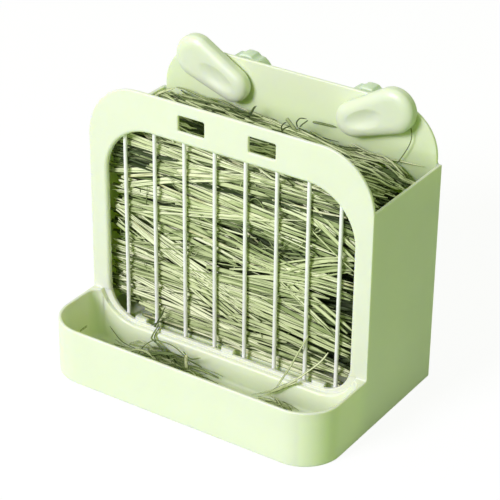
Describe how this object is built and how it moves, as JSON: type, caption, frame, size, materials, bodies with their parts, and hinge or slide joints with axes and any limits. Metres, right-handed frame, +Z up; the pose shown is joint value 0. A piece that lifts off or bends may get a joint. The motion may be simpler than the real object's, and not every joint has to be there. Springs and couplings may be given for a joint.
{
  "type": "hay feeder box",
  "caption": "Box shaped hay feeder with a wire grille over a window, a trough in front and ear shaped knobs that clamp it to cage wires.",
  "frame": {"origin": "on the surface that the feeder rests on, halfway along its width, at the front face of the hay box", "axes": "+Z up, +Y from the trough to the back panel, +X to the right as seen from the trough"},
  "size_m": [0.2, 0.1534, 0.1902],
  "materials": {
    "body_plastic": "satin moulded pale lime green",
    "ear_plastic": "satin moulded pale lime green",
    "clamp_plastic": "satin moulded pale lime green",
    "grille_wire": "bright plated steel"
  },
  "bodies": {
    "box": {"feeder_body": "body_plastic", "grille_wire_1": "grille_wire", "grille_wire_2": "grille_wire", "grille_wire_3": "grille_wire", "grille_wire_4": "grille_wire", "grille_wire_5": "grille_wire", "grille_wire_6": "grille_wire", "grille_wire_7": "grille_wire", "grille_wire_8": "grille_wire", "grille_top_rail": "grille_wire", "grille_bottom_rail": "grille_wire"},
    "ear_left": {"ear_knob_left": "ear_plastic", "clamp_screw_left": "clamp_plastic"},
    "ear_right": {"ear_knob_right": "ear_plastic", "clamp_screw_right": "clamp_plastic"},
    "clamp_left": {"clamp_disc_left": "clamp_plastic"},
    "clamp_right": {"clamp_disc_right": "clamp_plastic"}
  },
  "joints": [
    {"name": "ear_left_turn", "type": "hinge", "parent": "box", "child": "ear_left", "pos_m": [-0.043, 0.076, 0.1625], "axis": [0, 1, 0], "range_deg": [-360, 720]},
    {"name": "clamp_left_slide", "type": "slide", "parent": "box", "child": "clamp_left", "axis": [0, -1, 0], "range_m": [-0.0026, 0.0051]},
    {"name": "ear_right_turn", "type": "hinge", "parent": "box", "child": "ear_right", "pos_m": [0.043, 0.076, 0.1625], "axis": [0, 1, 0], "range_deg": [-360, 720]},
    {"name": "clamp_right_slide", "type": "slide", "parent": "box", "child": "clamp_right", "axis": [0, -1, 0], "range_m": [-0.0026, 0.0051]}
  ],
  "couplings": [
    {"joint": "clamp_left_slide", "follows": "ear_left_turn", "m_per_rad": 0.00039789},
    {"joint": "clamp_right_slide", "follows": "ear_right_turn", "m_per_rad": 0.00039789}
  ]
}
